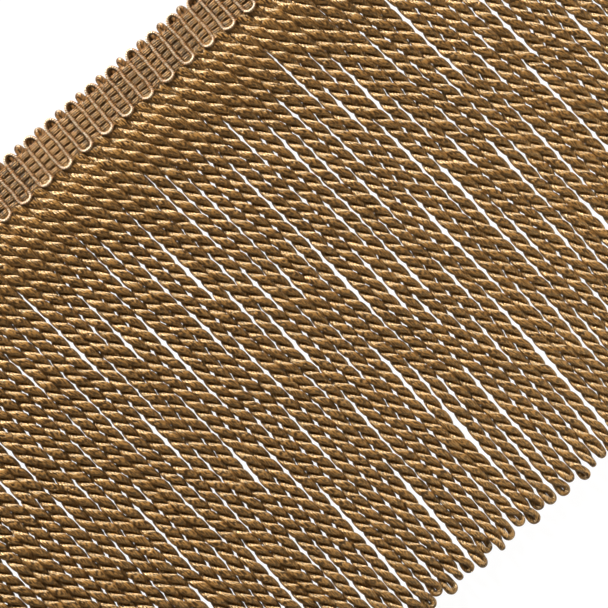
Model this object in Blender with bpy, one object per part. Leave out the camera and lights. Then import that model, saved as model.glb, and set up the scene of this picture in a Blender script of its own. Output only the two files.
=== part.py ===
"""Cord fringe trim: a cut length of bullion fringe, lying flat.

A woven ribbed heading runs along X at the +Y side. An edging cord snakes over it in long loops.
Twisted cords hang from the heading's lower edge and lie side by side towards -Y.
Metres, +Z up. The origin is the middle of the footprint, on the surface that the trim lies on.
"""

import math

import bmesh
import bpy

MM = 0.001
TAU = 2 * math.pi

# Driving sizes
COLUMNS = 68  # ribs in the heading, each with one cord below it
COLUMN_PITCH = 3.566 * MM
OVERALL_DROP = 167.0 * MM  # to the longest cord; the ends are a little uneven
HEADING_DEPTH = 14.0 * MM  # edging loops included
LEAN = 8.0 * MM  # how far the cords drift towards +X over their whole drop, most of it near the top
FIT_GAP = 0.3 * MM

# Heading
WEFT_LOOP_REACH = 2.8 * MM  # from the woven band's top edge to the edging's outermost line
BAND_ABOVE_EDGING_FOOT = 1.0 * MM
BAND_THICKNESS = 2.2 * MM
RIB_RISE = 0.45 * MM
RIB_FOOT_WIDTH = 3.1 * MM
RIB_CROWN_WIDTH = 1.8 * MM

# The turned weft that closes each rib at the top edge
WEFT_LOOP_RINGS = (
    {"reach": 1.2 * MM, "width": 3.1 * MM, "height": 2.1 * MM},
    {"reach": 2.0 * MM, "width": 2.4 * MM, "height": 1.9 * MM},
    {"reach": 2.5 * MM, "width": 1.3 * MM, "height": 1.5 * MM},
)

# Edging cord
EDGING_RADIUS = 0.42 * MM
EDGING_HEIGHT = 3.15 * MM  # of its centre line
EDGING_TOP_RISE = 2.7 * MM  # of the rounded end over a rib
EDGING_FOOT_DROP = 1.5 * MM  # of the rounded end under a rib
EDGING_ARC_STEPS = 6

# Root strip and cords
STRIP_DEPTH = 1.2 * MM
STRIP_THICKNESS = 1.9 * MM
CORD_WIDTH = 2.85 * MM
CORD_HEIGHT = 3.3 * MM
CROWN_SHARE = 0.7  # a cord's width along its top, against its width on the surface
ROOT_TAPER = 1.5 * MM
BODY_STEPS = 10
GROUP_SWAY = 0.35 * MM  # neighbours drifting together
OWN_SWAY = 0.05 * MM  # each cord's own wander
END_SPREAD = 2.4 * MM  # how far the shortest cord stops before the longest

# The turned loop at a cord's end
END_LOOP_RINGS = (
    {"before_tip": 4.0 * MM, "width": 2.85 * MM, "height": 3.3 * MM},
    {"before_tip": 1.2 * MM, "width": 2.6 * MM, "height": 2.7 * MM},
    {"before_tip": 0.0, "width": 1.3 * MM, "height": 1.7 * MM},
)

# Lines across the trim, from the top down
TOP = OVERALL_DROP / 2
BAND_TOP = TOP - WEFT_LOOP_REACH
EDGING_FOOT = TOP - HEADING_DEPTH
BAND_FOOT = EDGING_FOOT + BAND_ABOVE_EDGING_FOOT
STRIP_BACK = BAND_FOOT - FIT_GAP
STRIP_FRONT = STRIP_BACK - STRIP_DEPTH
LONGEST_CORD = STRIP_FRONT + OVERALL_DROP / 2

# The heading sits half the lean towards -X, so that the footprint stays on the origin
HEADING_LEFT = -(COLUMNS * COLUMN_PITCH + LEAN) / 2
HEADING_RIGHT = HEADING_LEFT + COLUMNS * COLUMN_PITCH


def column_centre(column):
    return HEADING_LEFT + (column + 0.5) * COLUMN_PITCH


def drift(column, share):
    """Sideways drift of a cord at this share of the longest drop, 0 at the root."""
    settled = min(1.0, 4 * share)
    together = GROUP_SWAY * math.sin(TAU * (column / 8.6 + 0.7 * share) + 0.6)
    alone = OWN_SWAY * math.sin(TAU * (0.618 * column + 1.4 * share))
    return LEAN * share * (2 - share) + settled * (together + alone)


def cord_length(column):
    return LONGEST_CORD - END_SPREAD * (0.5 + 0.5 * math.sin(2.4 * column))


def yarn_material(name, colour, roughness):
    material = bpy.data.materials.new(name)
    material.use_nodes = True
    shader = material.node_tree.nodes["Principled BSDF"]
    shader.inputs["Base Color"].default_value = (*colour, 1.0)
    shader.inputs["Roughness"].default_value = roughness
    shader.inputs["Metallic"].default_value = 0.0
    return material


def place(name, data, material):
    data.materials.append(material)
    bpy.context.scene.collection.objects.link(bpy.data.objects.new(name, data))


def place_mesh(name, bm, material):
    bmesh.ops.recalc_face_normals(bm, faces=bm.faces)
    mesh = bpy.data.meshes.new(name)
    bm.to_mesh(mesh)
    bm.free()
    place(name, mesh, material)


def row(bm, xs, y, z):
    return [bm.verts.new((x, y, z)) for x in xs]


def quad(bm, one, other, i):
    """The face between two rows of points, from point i to the next."""
    return bm.faces.new((one[i], one[i + 1], other[i + 1], other[i]))


def tube(bm, root, rings):
    """Grows a four-sided tube from an open ring of points, and closes its end."""
    for corners in rings:
        ring = [bm.verts.new(corner) for corner in corners]
        for i in range(4):
            bm.faces.new((root[i - 1], root[i], ring[i], ring[i - 1]))
        root = ring
    bm.faces.new(root)


def section(centre, y, foot_width, crown_width, height):
    """An upright section: low left, low right, high right, high left."""
    foot, crown = foot_width / 2, crown_width / 2
    low = [(centre - foot, y, 0.0), (centre + foot, y, 0.0)]
    return low + [(centre + crown, y, height), (centre - crown, y, height)]


def breaks_across(width):
    """The heading's ends, and between them both sides of a width round each column."""
    xs = [HEADING_LEFT]
    for column in range(COLUMNS):
        xs += [column_centre(column) - width / 2, column_centre(column) + width / 2]
    return xs + [HEADING_RIGHT]


def heading_band():
    """The woven band: a raised rib for each column, closed at the top edge by a turned weft."""
    bm = bmesh.new()
    xs = breaks_across(RIB_FOOT_WIDTH)
    foot_low, foot_high = row(bm, xs, BAND_FOOT, 0.0), row(bm, xs, BAND_FOOT, BAND_THICKNESS)
    top_low, top_high = row(bm, xs, BAND_TOP, 0.0), row(bm, xs, BAND_TOP, BAND_THICKNESS)
    for i in range(len(xs) - 1):
        quad(bm, foot_low, top_low, i)
        quad(bm, foot_low, foot_high, i)
        if i % 2 == 0:
            quad(bm, top_low, top_high, i)
            quad(bm, foot_high, top_high, i)
    for i in (0, len(xs) - 1):
        bm.faces.new((foot_low[i], top_low[i], top_high[i], foot_high[i]))

    for column in range(COLUMNS):
        left, right = 2 * column + 1, 2 * column + 2
        centre = column_centre(column)
        crown_xs = (centre - RIB_CROWN_WIDTH / 2, centre + RIB_CROWN_WIDTH / 2)
        profiles = []
        for high, y in ((foot_high, BAND_FOOT), (top_high, BAND_TOP)):
            crown = row(bm, crown_xs, y, BAND_THICKNESS + RIB_RISE)
            profiles.append([high[left], *crown, high[right]])
            bm.faces.new(profiles[-1])
        for i in range(3):
            quad(bm, *profiles, i)
        root = (top_low[left], top_low[right], top_high[right], top_high[left])
        turns = [
            section(centre, BAND_TOP + ring["reach"], ring["width"], ring["width"], ring["height"])
            for ring in WEFT_LOOP_RINGS
        ]
        tube(bm, root, turns)
    place_mesh("heading_band", bm, yarn_material("warp_yarn", (0.30, 0.19, 0.085), 0.6))


def edging_points():
    """The centre line: up, round the top of an even column, down, and round the foot of the next."""
    top_centre = TOP - EDGING_RADIUS - EDGING_TOP_RISE
    foot_centre = EDGING_FOOT + EDGING_RADIUS + EDGING_FOOT_DROP
    turns = ((top_centre, EDGING_TOP_RISE), (foot_centre, -EDGING_FOOT_DROP))
    points = [(HEADING_LEFT, foot_centre)]
    for column in range(COLUMNS):
        centre, bulge = turns[column % 2]
        for step in range(EDGING_ARC_STEPS + 1):
            angle = math.pi * step / EDGING_ARC_STEPS
            x = column_centre(column) - COLUMN_PITCH / 2 * math.cos(angle)
            points.append((x, centre + bulge * math.sin(angle)))
    return points + [(HEADING_RIGHT, top_centre)]


def edging_cord():
    curve = bpy.data.curves.new("edging_cord", "CURVE")
    curve.dimensions = "3D"
    curve.twist_mode = "Z_UP"
    curve.bevel_depth = EDGING_RADIUS
    curve.bevel_resolution = 0
    curve.use_fill_caps = True
    points = edging_points()
    spline = curve.splines.new("POLY")
    spline.points.add(len(points) - 1)
    for point, (x, y) in zip(spline.points, points):
        point.co = (x, y, EDGING_HEIGHT, 1.0)
    place("edging_cord", curve, yarn_material("gimp_yarn", (0.47, 0.35, 0.19), 0.5))


def cord_rings(column):
    """One cord from just below its root to the tip: its sections, level on the surface."""
    length = cord_length(column)
    body = length - END_LOOP_RINGS[0]["before_tip"] - ROOT_TAPER
    sizes = [
        (ROOT_TAPER + body * step / BODY_STEPS, CORD_WIDTH, CORD_HEIGHT)
        for step in range(BODY_STEPS)
    ]
    for ring in END_LOOP_RINGS:
        sizes.append((length - ring["before_tip"], ring["width"], ring["height"]))
    rings = []
    for distance, width, height in sizes:
        centre = column_centre(column) + drift(column, distance / LONGEST_CORD)
        rings.append(section(centre, STRIP_FRONT - distance, width, CROWN_SHARE * width, height))
    return rings


def bullion_fringe():
    """The root strip just below the heading, and the cords that grow from its front."""
    bm = bmesh.new()
    xs = breaks_across(CORD_WIDTH)
    back_low, back_high = row(bm, xs, STRIP_BACK, 0.0), row(bm, xs, STRIP_BACK, STRIP_THICKNESS)
    front_low, front_high = row(bm, xs, STRIP_FRONT, 0.0), row(bm, xs, STRIP_FRONT, STRIP_THICKNESS)
    for i in range(len(xs) - 1):
        quad(bm, back_low, front_low, i)
        quad(bm, back_high, front_high, i)
        quad(bm, back_low, back_high, i)
        if i % 2 == 0:
            quad(bm, front_low, front_high, i)
    for i in (0, len(xs) - 1):
        bm.faces.new((back_low[i], front_low[i], front_high[i], back_high[i]))
    for column in range(COLUMNS):
        left, right = 2 * column + 1, 2 * column + 2
        root = (front_low[left], front_low[right], front_high[right], front_high[left])
        tube(bm, root, cord_rings(column))
    place_mesh("bullion_fringe", bm, yarn_material("bullion_yarn", (0.22, 0.135, 0.06), 0.55))


for leftover in list(bpy.data.objects):
    bpy.data.objects.remove(leftover, do_unlink=True)

heading_band()
edging_cord()
bullion_fringe()
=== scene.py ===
"""Cord fringe trim: the finished look of a cut length of bullion fringe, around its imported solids.

Laid out as a Blender add-on and run as a script. Metres, +Z up, in the frame of the solids: the
heading runs along X at the +Y side, and the cords lie from it towards -Y.
"""

import math

import bpy
import numpy as np
from bpy.props import FloatProperty, FloatVectorProperty, IntProperty, PointerProperty
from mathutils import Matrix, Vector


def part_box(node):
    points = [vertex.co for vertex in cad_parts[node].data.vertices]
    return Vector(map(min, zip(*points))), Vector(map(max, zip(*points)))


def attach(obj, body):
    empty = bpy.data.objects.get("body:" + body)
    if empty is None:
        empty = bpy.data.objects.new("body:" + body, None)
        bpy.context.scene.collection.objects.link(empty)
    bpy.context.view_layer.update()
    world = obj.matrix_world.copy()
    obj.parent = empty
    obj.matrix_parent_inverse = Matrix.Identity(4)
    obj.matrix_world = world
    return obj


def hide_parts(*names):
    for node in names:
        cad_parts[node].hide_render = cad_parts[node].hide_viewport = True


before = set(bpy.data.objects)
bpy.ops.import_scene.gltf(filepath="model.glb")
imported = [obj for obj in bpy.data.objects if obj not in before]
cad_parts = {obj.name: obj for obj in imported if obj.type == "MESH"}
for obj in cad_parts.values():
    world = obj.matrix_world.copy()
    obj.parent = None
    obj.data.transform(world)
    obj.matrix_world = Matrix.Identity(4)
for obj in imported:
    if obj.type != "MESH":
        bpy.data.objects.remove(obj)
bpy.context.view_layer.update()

bl_info = {
    "name": "Cord fringe trim",
    "version": (1, 0, 0),
    "blender": (4, 5, 0),
    "location": "3D View > Sidebar > Fringe",
    "description": "Models a cut length of bullion fringe with its woven heading",
    "category": "Object",
}

MM = 0.001
TAU = 2 * math.pi

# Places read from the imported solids
BAND_LOW, BAND_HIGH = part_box("heading_band")
EDGING_LOW, EDGING_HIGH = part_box("edging_cord")
LONGEST_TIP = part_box("bullion_fringe")[0].y
COLUMNS = 68
HEADING_LEFT, HEADING_RIGHT = BAND_LOW.x, BAND_HIGH.x
PITCH = (HEADING_RIGHT - HEADING_LEFT) / COLUMNS
TOP = EDGING_HIGH.y
EDGING_FOOT = EDGING_LOW.y
BAND_FOOT = BAND_LOW.y
WEFT_TOP = BAND_HIGH.y
BAND_TOP = WEFT_TOP - 2.5 * MM  # a turned weft reaches this far past the woven band
PADS = 5  # warp floats down each rib
PAD_PITCH = (BAND_TOP - BAND_FOOT) / PADS


def linear(code):
    """The linear colour of an sRGB hex value such as "8a6a3c"."""
    shares = [int(code[i : i + 2], 16) / 255 for i in (0, 2, 4)]
    return tuple(s / 12.92 if s <= 0.04045 else ((s + 0.055) / 1.055) ** 2.4 for s in shares)


def colour_property(name, description, code):
    return FloatVectorProperty(
        name=name, description=description, default=linear(code), subtype="COLOR", min=0, max=1
    )


def length_property(name, description, millimetres):
    return FloatProperty(
        name=name, description=description, default=millimetres * MM, unit="LENGTH", precision=5
    )


class FringeSizes(bpy.types.PropertyGroup):
    """Sizes of the yarns and of how they lie."""

    lean: length_property("Lean", "Drift of the cords towards +X over their whole drop", 8.0)
    lay: length_property("Lay", "Length of one full turn of a cord's two plies", 9.45)
    ply_offset: length_property("Ply offset", "From a cord's middle to a ply's widest part", 1.05)
    ply_depth: length_property("Ply depth", "From a ply's widest part to its crown", 0.76)
    ply_width: length_property("Ply width", "Half the width of a ply round the cord", 1.06)
    eye: length_property("End loop", "Radius of a ply's turn at a cord's end", 1.05)
    spread: length_property("Uneven ends", "How far the shortest cord stops early", 2.4)
    gimp: length_property("Gimp", "Diameter of the edging cord on the heading", 0.88)
    weft: length_property("Weft", "Diameter of the weft yarn at the heading's top edge", 1.45)
    warp: length_property("Warp", "Diameter of a warp thread", 0.48)
    binder: length_property("Binder", "Diameter of a binder thread", 0.24)
    seed: IntProperty(name="Seed", description="Start of the random draws", default=7, min=0)


class FringeColours(bpy.types.PropertyGroup):
    """Colours of the yarns and the ground they lie on."""

    floss: colour_property("Floss", "Wrapped floss of the cords, where it lies open", "906a39")
    # painted shade in the grooves between wraps, and also the dark of the floss's grain; the weft
    # and binder threads use it too
    floss_shade_and_grain: colour_property("Deep floss", "Wrapped floss between two wraps", "1c0900")
    # darker than the floss: painted shade on the turned loops at the top edge
    weft: colour_property("Weft", "Floss of the turned weft at the top edge", "8a6030")
    warp: colour_property("Warp", "Mercerised cotton of the heading's ribs", "9a7242")
    # painted shade down the sides of the warp threads and in their grooves, and also the dark of
    # their grain
    warp_shade_and_grain: colour_property("Deep warp", "Warp between two threads", "1a0b02")
    gimp: colour_property("Gimp", "Pale side of the edging cord", "aaa08e")
    # painted warm light on the gimp's +X side, and painted shade between its beads
    gimp_warm_light_and_shade: colour_property("Gold gimp", "Gold side of the edging cord", "7c4c1c")
    binder: colour_property("Binder", "Fine threads that catch the gimp down", "b87a34")
    # the tape's dark colour also stands as painted shade where it reaches under the cords' roots
    tape: colour_property("Tape", "Cotton ground of the heading", "4a3218")
    floor: colour_property("Floor", "Paper that the trim lies on, before its glow", "404040")


def sizes():
    return bpy.context.scene.fringe_sizes


def colours():
    return bpy.context.scene.fringe_colours


# Yarn as tubes

FLOOR_GAP = 0.02 * MM  # no yarn comes lower than this
UP = (0.0, 0.0, 1.0)


def unit(vectors):
    return vectors / np.maximum(np.linalg.norm(vectors, axis=-1, keepdims=True), 1e-12)


def smooth_step(share):
    share = np.clip(share, 0.0, 1.0)
    return share * share * (3 - 2 * share)


def tangents(centres):
    return unit(np.gradient(centres, axis=0))


def run_length(centres):
    """How far along the line each point lies, in millimetres, which is the scale of a yarn's UV."""
    steps = np.linalg.norm(np.diff(centres, axis=0), axis=1)
    return np.concatenate(([0.0], np.cumsum(steps))) / MM


def rings_about(centres, outward, depth, width, sides, inner=None, boxy=1.0):
    """Rings of points round a line: depth is the radius along outward, width the one across it,
    and inner the radius on the side away from outward. Below 1, boxy flattens the outer side and
    gives it shoulders."""
    forward = tangents(centres)
    outward = unit(outward - forward * np.sum(outward * forward, axis=1, keepdims=True))
    across = np.cross(forward, outward)
    angle = TAU * np.arange(sides) / sides
    cosine, sine = np.cos(angle), np.sin(angle)
    shaped = np.sign(sine) * np.abs(sine) ** boxy
    out = np.multiply.outer(depth, np.abs(cosine) ** boxy)
    inward = np.multiply.outer(depth if inner is None else inner, cosine)
    out = np.where(cosine < 0, inward, out)
    side = np.multiply.outer(width, np.where(cosine < 0, sine, shaped))
    rings = centres[:, None] + out[..., None] * outward[:, None] + side[..., None] * across[:, None]
    rings[..., 2] = np.maximum(rings[..., 2], FLOOR_GAP)
    return rings


def round_rings(line, radius, sides):
    """Rings of points round a yarn that is the same all along."""
    radii = np.full(len(line), radius)
    return rings_about(line, np.broadcast_to(UP, line.shape), radii, radii, sides)


class YarnMesh:
    """Closed tubes of yarn gathered into one mesh, with a UV round and along each tube."""

    def __init__(self):
        self.points, self.faces, self.uvs, self.tones = [], [], [], []
        self.count = 0

    def add(self, rings, along, tone):
        """Rings of points down a tube, how far along each lies, and a tone: the yarn's own, or on
        the gimp painted light.
        """
        rows, sides = rings.shape[:2]
        here = self.count + np.arange(rows * sides).reshape(rows, sides)
        beside = np.roll(here, -1, axis=1)
        quads = np.stack((here[:-1], beside[:-1], beside[1:], here[1:]), axis=-1)
        round_, next_ = np.arange(sides) / sides, np.arange(1, sides + 1) / sides
        u = np.broadcast_to(np.stack((round_, next_, next_, round_), axis=-1), quads.shape)
        v = np.stack((along[:-1], along[:-1], along[1:], along[1:]), axis=-1)
        v = np.broadcast_to(v[:, None, :], quads.shape)
        self.faces.append(quads.reshape(-1, 4))
        self.uvs.append(np.stack((u, v), axis=-1).reshape(-1, 4, 2))

        start, end = self.count + rows * sides, self.count + rows * sides + 1
        caps = np.empty((2 * sides, 4), int)
        caps[:sides] = np.stack(
            (np.full(sides, start), beside[0], here[0], np.full(sides, -1)), axis=-1
        )
        caps[sides:] = np.stack(
            (np.full(sides, end), here[-1], beside[-1], np.full(sides, -1)), axis=-1
        )
        cap_uv = np.zeros((2 * sides, 4, 2))
        cap_uv[:, :, 0] = 0.5
        cap_uv[:sides, :, 1], cap_uv[sides:, :, 1] = along[0], along[-1]
        self.faces.append(caps)
        self.uvs.append(cap_uv)
        ends = np.stack((rings[0].mean(axis=0), rings[-1].mean(axis=0)))
        self.points += [rings.reshape(-1, 3), ends]
        spread = np.broadcast_to(tone, (rows, sides)).ravel()
        self.tones.append(np.append(spread, (spread[0], spread[-1])))
        self.count += rows * sides + 2

    def make(self, name, material, node):
        """The mesh as a piece that rides on the trim and stands for a node."""
        points, faces = np.concatenate(self.points), np.concatenate(self.faces)
        used = faces >= 0
        corners = used.sum(axis=1)
        mesh = bpy.data.meshes.new(name)
        mesh.vertices.add(len(points))
        mesh.vertices.foreach_set("co", points.astype(np.float32).ravel())
        mesh.loops.add(int(corners.sum()))
        mesh.loops.foreach_set("vertex_index", faces[used].astype(np.int32))
        mesh.polygons.add(len(faces))
        starts = np.concatenate(([0], np.cumsum(corners)[:-1]))
        mesh.polygons.foreach_set("loop_start", starts.astype(np.int32))
        mesh.polygons.foreach_set("use_smooth", np.ones(len(faces), bool))
        layer = mesh.uv_layers.new(name="yarn")
        layer.data.foreach_set("uv", np.concatenate(self.uvs)[used].astype(np.float32).ravel())
        tone = mesh.attributes.new("tone", "FLOAT", "POINT")
        tone.data.foreach_set("value", np.concatenate(self.tones).astype(np.float32))
        mesh.update(calc_edges=True)
        mesh.validate()
        piece = bpy.data.objects.new(name, mesh)
        bpy.context.scene.collection.objects.link(piece)
        mesh.materials.append(material)
        return dress(piece, node)


def dress(piece, node):
    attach(piece, "root")
    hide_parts(node)
    return piece


def column_centre(column):
    return HEADING_LEFT + (column + 0.5) * PITCH


# Materials

GRAIN_SCALE, GRAIN_DETAIL = 0.9, 0.5
GRAIN_EDGE = (0.45, 0.55)  # noise below the first is dark, above the second light
GRAIN_RISE = 0.6  # how high the light grain stands, against a ridge
RIDGE_RISE = 0.15 * MM
PAINTED_LIGHT_FROM = 0.8  # cosine of the way round a yarn above which its top is painted lighter, and below which its sides are painted darker
TAPE_THREAD = 0.5 * MM
TAPE_SHADE = 0.6  # the darker threads of the tape, against the lighter ones


def add_node(tree, kind, inputs=None, **settings):
    """Adds a node, sets its properties, and sets or links its inputs."""
    node = tree.nodes.new(kind)
    for name, value in settings.items():
        setattr(node, name, value)
    for socket, value in (inputs or {}).items():
        if isinstance(value, bpy.types.NodeSocket):
            tree.links.new(value, node.inputs[socket])
        else:
            node.inputs[socket].default_value = value
    return node


def new_material(name):
    material = bpy.data.materials.new(name)
    material.use_nodes = True
    return material, material.node_tree, material.node_tree.nodes["Principled BSDF"]


def colour(value, alpha=1.0):
    return (*value, alpha)


def wrapped_yarn(
    name,
    open_colour,
    deep_colour,
    wrap,
    starts=1,
    relief=0.5,
    roughness=0.4,
    groove_shade=0.5,
    speckle=0.35,
    cells=(1.0, 0.5),
    crown=0.0,
    shine=1.0,
    brushed=0.5,
    brush_turn=0.0,
    index=1.5,
    tint="fff2d8",
    polish=0.0,
):
    """Yarn with a finer thread turning round it: ridges at a slant, each of its own tone.

    wrap is how far apart the ridges are along the yarn, in millimetres, and starts is how many
    threads turn side by side; below zero they turn the other way. groove_shade is painted shade: how
    much darker the grooves between ridges are drawn than the ridges. speckle is how much the tone
    changes from place to place, and cells how many places there are across a radian of the yarn and
    along a millimetre. crown is how much the top of the yarn is painted lighter and its sides and
    underside darker: painted light and shade.
    shine, index and tint are the strength, the index of refraction and the colour of the shine,
    and polish is how much smoother the yarn is on light grain than on dark. brushed draws the
    shine out across the threads, which lie at brush_turn of a turn to the yarn.
    """
    material, tree, shader = new_material(name)
    uv = add_node(tree, "ShaderNodeUVMap", uv_map="yarn")
    split = add_node(tree, "ShaderNodeSeparateXYZ", {"Vector": uv.outputs[0]})
    round_, along = split.outputs["X"], split.outputs["Y"]

    def calc(operation, *values):
        return add_node(
            tree, "ShaderNodeMath", dict(enumerate(values)), operation=operation
        ).outputs[0]

    slant = calc("MULTIPLY", along, 1 / wrap)
    phase = calc("MULTIPLY_ADD", round_, float(starts), slant)
    wave = calc("SINE", calc("MULTIPLY", phase, TAU))
    ridge = calc("MULTIPLY_ADD", wave, 0.5, 0.5)
    turned = calc("MULTIPLY_ADD", along, 1 / (wrap * starts) if abs(starts) > 1 else 0.0, round_)
    around = calc("MULTIPLY", turned, TAU)
    spot = add_node(
        tree,
        "ShaderNodeCombineXYZ",
        {
            "X": calc("MULTIPLY", calc("COSINE", around), cells[0]),
            "Y": calc("MULTIPLY", calc("SINE", around), cells[0]),
            "Z": calc("MULTIPLY", along, cells[1]),
        },
    )
    grain = add_node(
        tree,
        "ShaderNodeTexNoise",
        {"Vector": spot.outputs[0], "Scale": GRAIN_SCALE, "Detail": GRAIN_DETAIL},
    )
    strong = add_node(
        tree,
        "ShaderNodeMapRange",
        {
            "Value": grain.outputs["Fac"],
            "From Min": GRAIN_EDGE[0],
            "From Max": GRAIN_EDGE[1],
        },
    )
    tone = add_node(tree, "ShaderNodeAttribute", attribute_name="tone").outputs["Fac"]
    # painted shade: the grooves between the ridges are drawn towards the deep colour, the ridges
    # away from it
    lines = calc("MULTIPLY_ADD", ridge, groove_shade, 0.5 - groove_shade / 2)
    grained = calc("MULTIPLY_ADD", strong.outputs[0], speckle, -speckle / 2)
    # painted light and shade: the top of a yarn is lightened and its sides and underside darkened,
    # by crown
    crest = calc("SUBTRACT", calc("COSINE", calc("MULTIPLY", round_, TAU)), PAINTED_LIGHT_FROM)
    tone_and_painted_light = calc("MULTIPLY_ADD", crest, crown, tone)
    blend = add_node(
        tree,
        "ShaderNodeMix",
        {
            "Factor": calc("ADD", calc("ADD", lines, grained), tone_and_painted_light),
            6: colour(deep_colour),
            7: colour(open_colour),
        },
        data_type="RGBA",
    )
    height = add_node(
        tree,
        "ShaderNodeBump",
        {
            "Height": calc("MULTIPLY_ADD", strong.outputs[0], GRAIN_RISE, ridge),
            "Strength": relief,
            "Distance": RIDGE_RISE,
        },
    )
    tree.links.new(blend.outputs[2], shader.inputs["Base Color"])
    tree.links.new(height.outputs[0], shader.inputs["Normal"])
    shader.inputs["Roughness"].default_value = roughness
    if polish:
        dull = calc("MULTIPLY_ADD", strong.outputs[0], -polish, roughness + polish / 2)
        tree.links.new(dull, shader.inputs["Roughness"])
    shader.inputs["IOR"].default_value = index
    shader.inputs["Specular IOR Level"].default_value = shine
    shader.inputs["Specular Tint"].default_value = colour(linear(tint))
    if brushed:
        shader.inputs["Anisotropic"].default_value = brushed
        shader.inputs["Anisotropic Rotation"].default_value = brush_turn % 1.0
        way = add_node(tree, "ShaderNodeTangent", direction_type="UV_MAP", uv_map="yarn")
        tree.links.new(way.outputs[0], shader.inputs["Tangent"])
    return material


def floss_wrapped_cotton():
    """Viscose floss twisted over a cotton core: a satin gold-brown that flashes along the ridge
    of each ply, with fine lines that run nearly down the cord. The real threads are 0.2 mm apart;
    they are drawn 0.4 mm apart, which is the finest that shows."""
    c = colours()
    return wrapped_yarn(
        "floss_wrapped_cotton",
        c.floss,
        c.floss_shade_and_grain,
        wrap=0.68,
        starts=-11,
        relief=0.9,
        roughness=0.5,
        groove_shade=0.4,
        speckle=1.5,
        cells=(3.4, 1.5),
        brushed=0.95,
        brush_turn=-0.12,
        index=2.0,
        tint="ffe4b8",
        polish=0.15,
    )


def turned_weft_floss():
    """The same floss where it turns at the heading's top edge, darker as painted shade on the turned
    loops.
    """
    c = colours()
    return wrapped_yarn(
        "turned_weft_floss",
        c.weft,
        c.floss_shade_and_grain,
        wrap=0.62,
        starts=-9,
        roughness=0.45,
        speckle=0.7,
        cells=(2.0, 1.1),
    )


def mercerised_warp_cotton():
    """Mercerised cotton warp: a warm tan with a soft shine, laid in close rows over each rib, with
    painted shade down the sides of each thread and a little painted light along its top."""
    c = colours()
    return wrapped_yarn(
        "mercerised_warp_cotton",
        c.warp,
        c.warp_shade_and_grain,
        wrap=1.6,
        relief=0.05,
        roughness=0.5,
        groove_shade=0.1,
        speckle=1.2,
        cells=(0.8, 2.6),
        crown=2.2,
        shine=0.6,
        brushed=0.0,
    )


def silvery_gimp():
    """Gimp, a core wrapped with bright floss: pale beads that shine, 0.62 mm to a bead, with painted
    shade between the beads and painted warm light in gold-brown on its +X side.
    """
    c = colours()
    return wrapped_yarn(
        "silvery_gimp",
        c.gimp,
        c.gimp_warm_light_and_shade,
        wrap=0.62,
        relief=0.6,
        roughness=0.35,
        groove_shade=0.8,
        speckle=0.4,
    )


def binder_thread():
    """A fine golden-brown polyester thread with a tight twist."""
    c = colours()
    return wrapped_yarn(
        "binder_thread", c.binder, c.floss_shade_and_grain, wrap=0.4, relief=0.3, roughness=0.45
    )


def woven_tape_cotton():
    """Plain-woven cotton tape: dark and dull, with its threads 0.5 mm apart."""
    material, tree, shader = new_material("woven_tape_cotton")
    place = add_node(tree, "ShaderNodeTexCoord")
    weave = add_node(
        tree,
        "ShaderNodeTexChecker",
        {
            "Vector": place.outputs["Object"],
            "Scale": 1 / TAPE_THREAD,
            "Color1": colour(colours().tape),
            "Color2": colour([TAPE_SHADE * value for value in colours().tape]),
        },
    )
    bump = add_node(
        tree,
        "ShaderNodeBump",
        {"Height": weave.outputs["Fac"], "Strength": 0.5, "Distance": 0.1 * MM},
    )
    tree.links.new(weave.outputs["Color"], shader.inputs["Base Color"])
    tree.links.new(bump.outputs[0], shader.inputs["Normal"])
    shader.inputs["Roughness"].default_value = 0.8
    return material


def matt_paper():
    """Smooth paper that glows white, so that the gaps between the cords read as white and hold
    no shadow."""
    material, tree, shader = new_material("matt_paper")
    shader.inputs["Base Color"].default_value = colour(colours().floor)
    shader.inputs["Roughness"].default_value = 0.9
    shader.inputs["Specular IOR Level"].default_value = 0.0
    shader.inputs["Emission Color"].default_value = (1.0, 1.0, 1.0, 1.0)
    shader.inputs["Emission Strength"].default_value = 0.97
    return material


# How the cords lie

ROWS = 170  # across the drop, about one a millimetre
RINGS_A_TURN = 12
CORD_SIDES = 12
ARC_STEPS = 10  # round an end loop
PIECES = 4  # the cords are parted into pieces of like size

# Down the drop
ROOT_Y = BAND_FOOT + 0.9 * MM  # hidden under the heading
ROOT_REACH = 4.5  # the cords are at their fullest in the first of so many parts of the drop
LOOSE_FROM = 6  # they lie loose from the first of so many parts onwards
PRESSED = 0.7  # height of the cords where the heading holds them down, against lower down
PRESSED_LENGTH = 9.0 * MM
LEFT_SHARE = 0.35  # of the heading's length, over which the cords get fuller towards -X

# The twist: a turn gets longer towards +X and towards the ends, and is each cord's own
LAY_LEAST, LAY_ACROSS, LAY_DOWN, LAY_OWN = 0.965, 0.05, 0.035, 0.022
TWIST_DRIFT, TWIST_KNOTS = 0.3, 14  # radians
FIRST_CROWN, FIRST_STEP, FIRST_OWN = 1.4 * MM, 0.45 * MM, 0.25 * MM  # below the root

# Girth, as shares of a cord's own
OWN_GIRTH = 0.012
LEFT_GIRTH, LEFT_PLUMP = 0.03, 0.05
ROOT_GIRTH, ROOT_PLUMP = 0.1, 0.1
END_GIRTH = 0.05
NECK = 1.02 * MM  # from a cord's middle to its side where one ply lies over the other
BITE = 0.1 * MM  # how far touching cords press into each other

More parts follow.
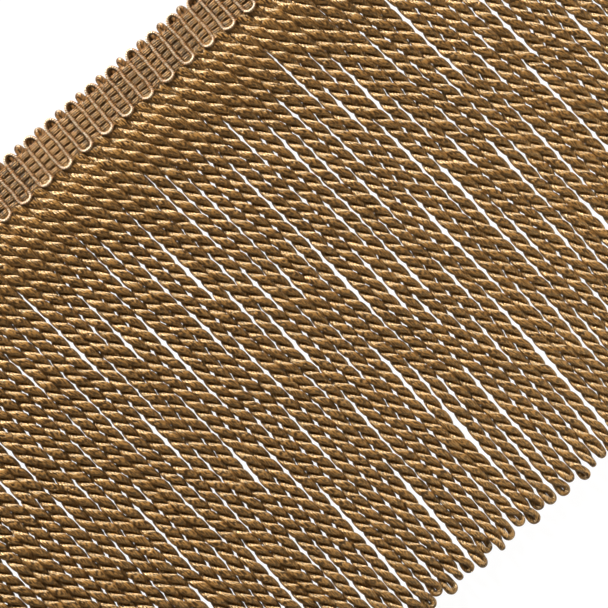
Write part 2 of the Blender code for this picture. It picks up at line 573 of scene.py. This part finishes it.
# Drift, slits and laps: places are shares of the drop, sizes millimetres
WAVES = ((0.2, 8.6, 1.4), (0.14, 3.9, 0.5))  # size, columns and drops to a wave
WAVE_SKEW = 0.7  # radians from one column to the next
OWN_DRIFT, DRIFT_KNOTS = 0.5, 20
SLITS = 85  # places where two neighbours lie a little apart
SLIT_LEAST, SLIT_MOST = (0.12, 0.02, 0.08), (1.05, 0.07, 0.3)  # place, half length, size
SLIT_PUSH = 1.3  # columns over which the push of a slit dies away
LAPS = 280  # places where a cord lies partly on its neighbour
LAP_LEAST, LAP_MOST = (0.12, 0.02, 0.15), (1.1, 0.06, 0.6)
LAP_RISE = 1.1  # of the upper cord, against the lap
LIFT_NOISE, LIFT_KNOTS = 0.1 * MM, 12
LOOSE_ROOT, LOOSE_MORE = 0.55, 0.6  # share of the drift at the root, and added towards the end

# Settling
SETTLING_STEPS = 120
YIELD = 0.45  # share of an overlap that each of two cords gives way
CLING = 0.1 * MM  # cords with less between them than this are drawn together
DRAW = 0.1
EVENING = 0.1  # how much of its place a row takes from each row beside it

# A ply
BOXY = 0.88  # how flat its crown is
SPLAY = 0.12  # how much wider the ply underneath is
ROOT_SPLAY = 0.85  # how much more where the cords leave the heading
SPLAY_EDGE = 1.2  # how soon a ply that turns under is at its widest
LOOP_YARN = 0.92 * MM  # its radius where it is free of the other, round the end loop
LOOP_BLEND = 3.2 * MM
LOOP_SLACK = 1.2 * MM  # the end loop stays untwisted over about this length
CORD_Z = 1.84 * MM  # of a cord's middle
LOOP_Z, STANDING_RISE = 1.05 * MM, 1.1 * MM  # of a flat end loop, and what one on edge adds
SINKING_LENGTH = 12 * MM


class CordLay:
    """Where each cord lies, and how its two plies turn round each other."""

    def __init__(self):
        z = sizes()
        rng = np.random.default_rng(z.seed)
        column = np.arange(COLUMNS)
        tip_y = LONGEST_TIP + z.spread * (0.5 + 0.5 * np.sin(2.4 * column))
        # Of each cord's line, to the middle of its end loop
        self.reach = ROOT_Y - (tip_y + z.eye + LOOP_YARN)
        self.s = np.linspace(0.0, self.reach.max(), ROWS)
        share = self.s / (ROOT_Y - LONGEST_TIP)
        across = column / (COLUMNS - 1)

        lay = z.lay * (LAY_LEAST + LAY_ACROSS * across[:, None] + LAY_DOWN * share[None, :])
        lay = lay * (1 + LAY_OWN * rng.standard_normal(COLUMNS))[:, None]
        wound = np.cumsum(TAU / lay, axis=1) * self.s[1]
        drift = self.smooth_noise(rng, TWIST_DRIFT, TWIST_KNOTS)
        wound += drift * smooth_step(share * 2)[None, :]
        # The plies leave the heading side by side, in step from cord to cord
        first = FIRST_CROWN + FIRST_STEP * (column % 2) + rng.normal(0.0, FIRST_OWN, COLUMNS)
        self.turn = math.pi * (column % 2)[:, None] + (TAU * first / z.lay)[:, None] - wound

        base = column_centre(column)[:, None] + z.lean * (share * (2 - share))[None, :]
        self.rootness = 1 - smooth_step(share * ROOT_REACH)
        leftness = smooth_step((0.5 - across) / LEFT_SHARE)
        girth = rng.normal(1.0, OWN_GIRTH, COLUMNS) + LEFT_GIRTH * leftness
        self.full = np.repeat(girth[:, None], ROWS, axis=1)
        endness = smooth_step(3 * share - 2)
        self.fat = self.full * (1 + ROOT_GIRTH * self.rootness - END_GIRTH * endness)
        self.plump = 1 + ROOT_PLUMP * self.rootness[None, :] + LEFT_PLUMP * leftness[:, None]

        wander = np.zeros((COLUMNS, ROWS))
        for size, columns_apart, drop_apart in WAVES:
            phase = rng.uniform(0, TAU, 2)
            wander += size * np.sin(TAU * column / columns_apart + phase[0])[:, None] * np.sin(
                TAU * share[None, :] / drop_apart + WAVE_SKEW * column[:, None] + phase[1]
            )
        for _ in range(SLITS):
            beside = rng.integers(0, COLUMNS - 1) + 0.5
            middle, half, size = rng.uniform(SLIT_LEAST, SLIT_MOST)
            away = column - beside
            push = np.sign(away) * np.exp(-(np.abs(away) - 0.5) / SLIT_PUSH) * size
            wander += push[:, None] * smooth_step(1 - np.abs(share - middle) / half)[None, :]
        wander += self.smooth_noise(rng, OWN_DRIFT, DRIFT_KNOTS)
        laps = np.zeros((COLUMNS - 1, ROWS))
        rise = np.zeros((COLUMNS, ROWS))
        for _ in range(LAPS):
            left = rng.integers(0, COLUMNS - 1)
            middle, half, size = rng.uniform(LAP_LEAST, LAP_MOST)
            here = smooth_step(1 - np.abs(share - middle) / half) * size
            laps[left] = np.maximum(laps[left], here)
            wander[left] += 0.5 * here
            wander[left + 1] -= 0.5 * here
            upper = left + int(rng.integers(0, 2))
            rise[upper] = np.maximum(rise[upper], here)

        settled = smooth_step(share * LOOSE_FROM)
        loose = settled * (LOOSE_ROOT + LOOSE_MORE * share)
        self.x = self.spaced(base + wander * loose[None, :] * MM, laps * settled * MM)
        self.lift = self.smooth_noise(rng, LIFT_NOISE, LIFT_KNOTS) + LAP_RISE * rise * settled * MM

    def smooth_noise(self, rng, size, knots):
        """Slow noise down each cord."""
        at = np.linspace(0, 1, knots)
        values = rng.standard_normal((COLUMNS, knots)) * size
        rows = np.linspace(0, 1, ROWS)
        return np.array([np.interp(rows, at, v) for v in values])

    def spaced(self, x, laps):
        """Pushes neighbours apart to where they touch, or to where one lies partly on the other."""
        z = sizes()
        between = (np.diff(self.turn, axis=0) + math.pi / 2) % math.pi - math.pi / 2
        fat = (self.full[1:] + self.full[:-1]) / 2
        bulge = z.ply_offset + z.ply_depth
        need = fat * 2 * (NECK + (bulge - NECK) * np.cos(between / 2)) - laps - BITE
        for _ in range(SETTLING_STEPS):
            apart = np.diff(x, axis=0) - need
            near = (apart > 0) & (apart < CLING)
            move = np.minimum(apart, 0.0) * YIELD + np.where(near, apart * DRAW, 0.0)
            x[:-1] += move
            x[1:] -= move
            x[:, 1:-1] = (1 - 2 * EVENING) * x[:, 1:-1] + EVENING * (x[:, 2:] + x[:, :-2])
        return x

    def cord(self, i):
        """One cord as a single tube: down one ply, round the end loop, and up the other."""
        z = sizes()
        reach = self.reach[i]
        s = np.linspace(0.0, reach, int(RINGS_A_TURN * reach / z.lay))
        before_end = reach - s
        ending = smooth_step(1 - before_end / LOOP_BLEND)
        pressed = PRESSED + (1 - PRESSED) * smooth_step(s / PRESSED_LENGTH)
        fat = np.interp(s, self.s, self.fat[i])
        offset = fat * (z.ply_offset + (z.eye - z.ply_offset) * ending)
        depth = fat * (z.ply_depth + (LOOP_YARN - z.ply_depth) * ending)
        inner = fat * z.ply_offset * (1 - ending) + LOOP_YARN * ending
        plump = np.interp(s, self.s, self.plump[i])
        width = fat * (plump * z.ply_width + (LOOP_YARN - plump * z.ply_width) * ending)
        splay = SPLAY + np.interp(s, self.s, self.rootness) * ROOT_SPLAY
        turn = np.interp(s, self.s, self.turn[i])
        turn = turn - TAU / z.lay * LOOP_SLACK * (1 - np.exp(-before_end / LOOP_SLACK))

        high = CORD_Z * fat + np.interp(s, self.s, self.lift[i])
        low_end = LOOP_Z + STANDING_RISE * abs(math.sin(turn[-1]))
        height = high + (low_end - high) * smooth_step(1 - before_end / SINKING_LENGTH)
        line = np.stack((np.interp(s, self.s, self.x[i]), ROOT_Y - s, height), axis=1)
        down = tangents(line)
        sideways = unit(np.array([1.0, 0, 0]) - down * down[:, :1])
        upward = np.cross(down, sideways)
        radial = np.cos(turn)[:, None] * sideways + np.sin(turn)[:, None] * upward

        arc = np.linspace(0, math.pi, ARC_STEPS + 1)[1:-1]
        round_end = np.cos(arc)[:, None] * radial[-1] + np.sin(arc)[:, None] * down[-1]
        centres = np.concatenate(
            (
                line + offset[:, None] * radial,
                line[-1] + offset[-1] * round_end,
                (line - offset[:, None] * radial)[::-1],
            )
        )
        outward = np.concatenate((radial, round_end, -radial[::-1]))

        def both_legs(values):
            return np.concatenate((values, np.full(len(arc), values[-1]), values[::-1]))

        # The ply that lies underneath is pressed wide, most of all near the root
        under = smooth_step(-SPLAY_EDGE * outward[:, 2])
        width = both_legs(width) * (1 + both_legs(splay) * under)
        rings = rings_about(
            centres, outward, both_legs(depth), width, CORD_SIDES, both_legs(inner), BOXY
        )
        rings[..., 2] *= both_legs(pressed)[:, None]
        return rings, run_length(centres)


CORD_TONES = 0.07  # how much lighter or darker one cord is than the next


class FRINGE_OT_bullion_cords(bpy.types.Operator):
    """Hanging cords of two plies, each doubled back into a loop at its end"""

    bl_idname = "fringe.bullion_cords"
    bl_label = "Bullion cords"

    def execute(self, context):
        lay = CordLay()
        rng = np.random.default_rng(sizes().seed + 1)
        tones = rng.normal(0.0, CORD_TONES, COLUMNS)
        material = floss_wrapped_cotton()
        for piece in range(PIECES):
            mesh = YarnMesh()
            for column in range(COLUMNS * piece // PIECES, COLUMNS * (piece + 1) // PIECES):
                mesh.add(*lay.cord(column), tones[column])
            mesh.make(f"bullion_cords_{piece + 1}", material, "bullion_fringe")
        return {"FINISHED"}


# Heading

RIB_HALF = 1.36 * MM  # half the width of a rib's crown
GROOVE_Z = 1.55 * MM  # of a warp thread's middle, between two ribs
CREST_Z = 2.72 * MM  # of a warp thread's middle, over a rib
THREADS_A_PAD = 3  # five on the real one, which are too fine to show
THREAD_PITCH = 0.52 * MM
RIB_STEPS = 9


class FRINGE_OT_warp_threads(bpy.types.Operator):
    """Warp threads that run along the heading, over each rib and down between two ribs"""

    bl_idname = "fringe.warp_threads"
    bl_label = "Warp threads"

    def execute(self, context):
        rng = np.random.default_rng(sizes().seed + 2)
        mesh = YarnMesh()
        angle = np.linspace(0, math.pi, RIB_STEPS)
        side = -np.sign(np.cos(angle)) * np.abs(np.cos(angle)) ** 0.6
        rise = np.sin(angle) ** 0.5
        columns = np.arange(COLUMNS)
        for pad in range(PADS):
            high = rng.normal(0.0, 0.07 * MM, COLUMNS)
            aside = rng.normal(0.0, 0.05 * MM, COLUMNS)
            tilt = rng.normal(0.0, 0.035, COLUMNS)
            puff = rng.normal(1.0, 0.03, COLUMNS)
            middle = BAND_FOOT + (pad + 0.5) * PAD_PITCH
            for thread in range(THREADS_A_PAD):
                own = (thread - (THREADS_A_PAD - 1) / 2) * THREAD_PITCH
                edge = abs(own) / (THREADS_A_PAD / 2 * THREAD_PITCH)
                crest = CREST_Z - 0.22 * MM * edge**2
                jitter = rng.normal(0.0, 0.02 * MM, COLUMNS)
                x = column_centre(columns)[:, None] + RIB_HALF * puff[:, None] * side[None, :]
                y = middle + own + (aside + jitter)[:, None] * rise + tilt[:, None] * side * 2 * MM
                z = GROOVE_Z + (crest + high[:, None] - GROOVE_Z) * rise[None, :]
                line = np.stack((x, np.broadcast_to(y, x.shape), z), axis=-1).reshape(-1, 3)
                line = np.concatenate(
                    ([[HEADING_LEFT, *line[0, 1:]]], line, [[HEADING_RIGHT, *line[-1, 1:]]])
                )
                rings = round_rings(line, sizes().warp / 2, 5)
                mesh.add(rings, run_length(line), rng.normal(0.0, 0.08))
        mesh.make("warp_threads", mercerised_warp_cotton(), "heading_band")
        return {"FINISHED"}


class FRINGE_OT_weft_loops(bpy.types.Operator):
    """Doubled weft inside each rib, turned over in a loop at the heading's top edge"""

    bl_idname = "fringe.weft_loops"
    bl_label = "Weft loops"

    def execute(self, context):
        rng = np.random.default_rng(sizes().seed + 3)
        radius = sizes().weft / 2
        mesh = YarnMesh()
        for column in range(COLUMNS):
            apart = 0.7 * MM
            top = (WEFT_TOP if column % 2 == 0 else TOP + 0.1 * MM) - radius
            stretch = 1.5
            centre_y = top - apart * stretch
            arc = np.linspace(0, math.pi, 11)
            legs = np.linspace(BAND_FOOT + 0.1 * MM, centre_y, 8)[:-1]
            x = np.concatenate((np.full(7, -apart), -apart * np.cos(arc), np.full(7, apart)))
            y = np.concatenate((legs, centre_y + apart * stretch * np.sin(arc), legs[::-1]))
            twist = rng.normal(0.35, 0.25) * smooth_step((y - BAND_TOP + 2 * MM) / (3 * MM))
            sway = rng.normal(0.0, 0.12 * MM) * smooth_step((y - BAND_TOP) / (3 * MM))
            line = np.stack(
                (column_centre(column) + x * np.cos(twist) + sway, y, 1.5 * MM + x * np.sin(twist)),
                axis=1,
            )
            mesh.add(round_rings(line, radius, 10), run_length(line), rng.normal(0.0, 0.06))
        mesh.make("weft_loops", turned_weft_floss(), "heading_band")
        return {"FINISHED"}


def gimp_line():
    """Up between two ribs, round the top of one, down, and round the foot of the next."""
    radius = sizes().gimp / 2
    top_rise, foot_drop = 2.7 * MM, 1.5 * MM
    top_centre = TOP - radius - top_rise
    foot_centre = EDGING_FOOT + radius + foot_drop
    arc = np.linspace(0, math.pi, 13)
    straight = np.linspace(foot_centre, top_centre, 20)[1:-1]
    parts = [np.array([[HEADING_LEFT, foot_centre]])]
    parts.append(np.stack((np.full(len(straight), HEADING_LEFT), straight), axis=1))
    for column in range(COLUMNS):
        over = column % 2 == 0
        centre, bulge = (top_centre, top_rise) if over else (foot_centre, -foot_drop)
        x = column_centre(column) - PITCH / 2 * np.cos(arc)
        parts.append(np.stack((x, centre + bulge * np.sin(arc)), axis=1))
        way = straight[::-1] if over else straight
        side = np.full(len(straight), column_centre(column) + PITCH / 2)
        parts.append(np.stack((side, way), axis=1))
    return np.concatenate(parts)


GIMP_Z = 2.38 * MM


class FRINGE_OT_gimp(bpy.types.Operator):
    """Edging cord that snakes over the heading in long loops"""

    bl_idname = "fringe.gimp"
    bl_label = "Gimp"

    def execute(self, context):
        flat = gimp_line()
        far = run_length(np.column_stack((flat, np.zeros(len(flat)))))
        wobble = 0.06 * MM * np.sin(TAU * far / 9.1 + 1.0) + 0.04 * MM * np.sin(TAU * far / 5.3)
        over_roots = smooth_step((BAND_FOOT + 0.4 * MM - flat[:, 1]) / (0.9 * MM))
        high = GIMP_Z + 0.45 * MM * over_roots
        line = np.column_stack((flat[:, 0] + wobble, flat[:, 1], high))
        radius = sizes().gimp / 2
        mesh = YarnMesh()
        rings = round_rings(line, radius, 10)
        # painted light: the gimp's +X side is drawn towards its warm gold-brown, as a warm light
        # from that side would colour it
        right_side = (rings[..., 0] - line[:, None, 0]) / radius
        mesh.add(rings, run_length(line), 0.15 - 0.75 * smooth_step(right_side))
        mesh.make("gimp", silvery_gimp(), "edging_cord")
        return {"FINISHED"}


class FRINGE_OT_binder_threads(bpy.types.Operator):
    """Fine threads that pass over the gimp and dip between the warp's floats"""

    bl_idname = "fringe.binder_threads"
    bl_label = "Binder threads"

    def execute(self, context):
        rng = np.random.default_rng(sizes().seed + 5)
        mesh = YarnMesh()
        over = GIMP_Z + sizes().gimp / 2 + 0.02 * MM
        shape = np.array(
            [(-0.5, over), (-0.38, over - 0.25 * MM), (-0.3, 2.45 * MM), (-0.15, 2.3 * MM),
             (0.05, 2.2 * MM), (0.25, 2.3 * MM), (0.36, 2.5 * MM), (0.42, over - 0.2 * MM)]
        )
        for level in range(PADS + 1):
            y = BAND_FOOT + level * PAD_PITCH
            if level == 0:
                y += 0.1 * MM
            x = column_centre(np.arange(COLUMNS))[:, None] + PITCH * shape[None, :, 0]
            z = np.broadcast_to(shape[None, :, 1], x.shape)
            waver = rng.normal(0.0, 0.05 * MM, x.shape)
            line = np.stack((x, y + waver, z), axis=-1).reshape(-1, 3)
            mesh.add(round_rings(line, sizes().binder / 2, 5), run_length(line), 0.0)
        mesh.make("binder_threads", binder_thread(), "heading_band")
        return {"FINISHED"}


TAPE_BEYOND = 1.0 * MM  # how far the ground reaches under the turned wefts
TAPE_BELOW = 2.2 * MM  # how far it reaches under the roots of the cords, as a dark sheet of painted shade between them


class FRINGE_OT_heading_tape(bpy.types.Operator):
    """Flat woven ground under the ribs, with its long edges rounded, reaching on under the cords'
    roots as a dark sheet of painted shade
    """

    bl_idname = "fringe.heading_tape"
    bl_label = "Heading tape"

    def execute(self, context):
        foot = BAND_FOOT - TAPE_BELOW
        deep, thick = BAND_TOP + TAPE_BEYOND - foot, 0.5 * MM
        wide = HEADING_RIGHT - HEADING_LEFT
        bpy.ops.object.select_all(action="DESELECT")
        bpy.ops.mesh.primitive_cube_add(
            size=1,
            location=((HEADING_LEFT + HEADING_RIGHT) / 2, foot + deep / 2, thick / 2),
            scale=(wide, deep, thick),
        )
        tape = context.active_object
        tape.name = "heading_tape"
        bpy.ops.object.transform_apply(location=True, rotation=True, scale=True)
        bpy.ops.object.mode_set(mode="EDIT")
        bpy.ops.mesh.select_all(action="SELECT")
        bpy.ops.mesh.bevel(offset=0.15 * MM, segments=2, affect="EDGES")
        bpy.ops.object.mode_set(mode="OBJECT")
        tape.data.materials.append(woven_tape_cotton())
        dress(tape, "heading_band")
        return {"FINISHED"}


# Stage

VIEW_TURN = math.radians(40.62)  # the heading's slope in the picture
VIEW_CENTRE = (3.68 * MM, 1.46 * MM, 2.5 * MM)
VIEW_DISTANCE = 0.6742


def add_lamp(scene, name, from_degrees, up_degrees, far, size, power, light_colour):
    """A square lamp that faces the middle of the trim. The angle is from +X, towards +Y."""
    from_angle, up_angle = math.radians(from_degrees), math.radians(up_degrees)
    data = bpy.data.lights.new(name, "AREA")
    data.shape, data.size, data.energy, data.color = "SQUARE", size, power, light_colour
    lamp = bpy.data.objects.new(name, data)
    lamp.location = (
        far * math.cos(up_angle) * math.cos(from_angle),
        far * math.cos(up_angle) * math.sin(from_angle),
        far * math.sin(up_angle),
    )
    lamp.rotation_euler = (-lamp.location).to_track_quat("-Z", "Y").to_euler()
    scene.collection.objects.link(lamp)


class FRINGE_OT_stage(bpy.types.Operator):
    """Camera above the trim, white paper under it, a low key lamp and a weak warm one"""

    bl_idname = "fringe.stage"
    bl_label = "Stage"

    def execute(self, context):
        scene = context.scene
        data = bpy.data.cameras.new("view")
        data.lens, data.sensor_width = 150.0, 36.0
        camera = bpy.data.objects.new("view", data)
        camera.location = (VIEW_CENTRE[0], VIEW_CENTRE[1], VIEW_CENTRE[2] + VIEW_DISTANCE)
        camera.rotation_euler = (0.0, 0.0, -VIEW_TURN)
        scene.collection.objects.link(camera)
        scene.camera = camera

        bpy.ops.object.select_all(action="DESELECT")
        bpy.ops.mesh.primitive_plane_add(size=3.0, location=(0, 0, -0.1 * MM))
        floor = context.active_object
        floor.name = "paper"
        bpy.ops.object.transform_apply(location=True, rotation=True, scale=True)
        floor.data.materials.append(matt_paper())

        add_lamp(scene, "key", 90.0, 20.0, 1.2, 0.26, 59.0, (1.0, 0.97, 0.92))
        add_lamp(scene, "warm_side", -40.0, 26.0, 0.3, 0.1, 0.45, (1.0, 0.87, 0.64))

        world = bpy.data.worlds.new("studio")
        world.use_nodes = True
        background = world.node_tree.nodes["Background"]
        background.inputs["Color"].default_value = (1.0, 0.8, 0.58, 1.0)
        background.inputs["Strength"].default_value = 0.18
        scene.world = world
        scene.view_settings.view_transform = "Standard"
        return {"FINISHED"}


PIECE_OPERATORS = (
    FRINGE_OT_stage,
    FRINGE_OT_heading_tape,
    FRINGE_OT_weft_loops,
    FRINGE_OT_warp_threads,
    FRINGE_OT_gimp,
    FRINGE_OT_binder_threads,
    FRINGE_OT_bullion_cords,
)


class FRINGE_PT_panel(bpy.types.Panel):
    """Sizes, colours and pieces of the fringe"""

    bl_label = "Cord fringe"
    bl_idname = "FRINGE_PT_panel"
    bl_space_type = "VIEW_3D"
    bl_region_type = "UI"
    bl_category = "Fringe"

    def draw(self, context):
        for group in (context.scene.fringe_sizes, context.scene.fringe_colours):
            box = self.layout.box()
            for name in group.__annotations__:
                box.prop(group, name)
        for operator in PIECE_OPERATORS:
            self.layout.operator(operator.bl_idname)


CLASSES = (FringeSizes, FringeColours, *PIECE_OPERATORS, FRINGE_PT_panel)


def register():
    for made in CLASSES:
        bpy.utils.register_class(made)
    bpy.types.Scene.fringe_sizes = PointerProperty(type=FringeSizes)
    bpy.types.Scene.fringe_colours = PointerProperty(type=FringeColours)


def unregister():
    del bpy.types.Scene.fringe_colours
    del bpy.types.Scene.fringe_sizes
    for made in reversed(CLASSES):
        bpy.utils.unregister_class(made)


def main():
    register()
    bpy.ops.fringe.stage()
    bpy.ops.fringe.heading_tape()
    bpy.ops.fringe.weft_loops()
    bpy.ops.fringe.warp_threads()
    bpy.ops.fringe.gimp()
    bpy.ops.fringe.binder_threads()
    bpy.ops.fringe.bullion_cords()


if __name__ == "__main__":
    main()
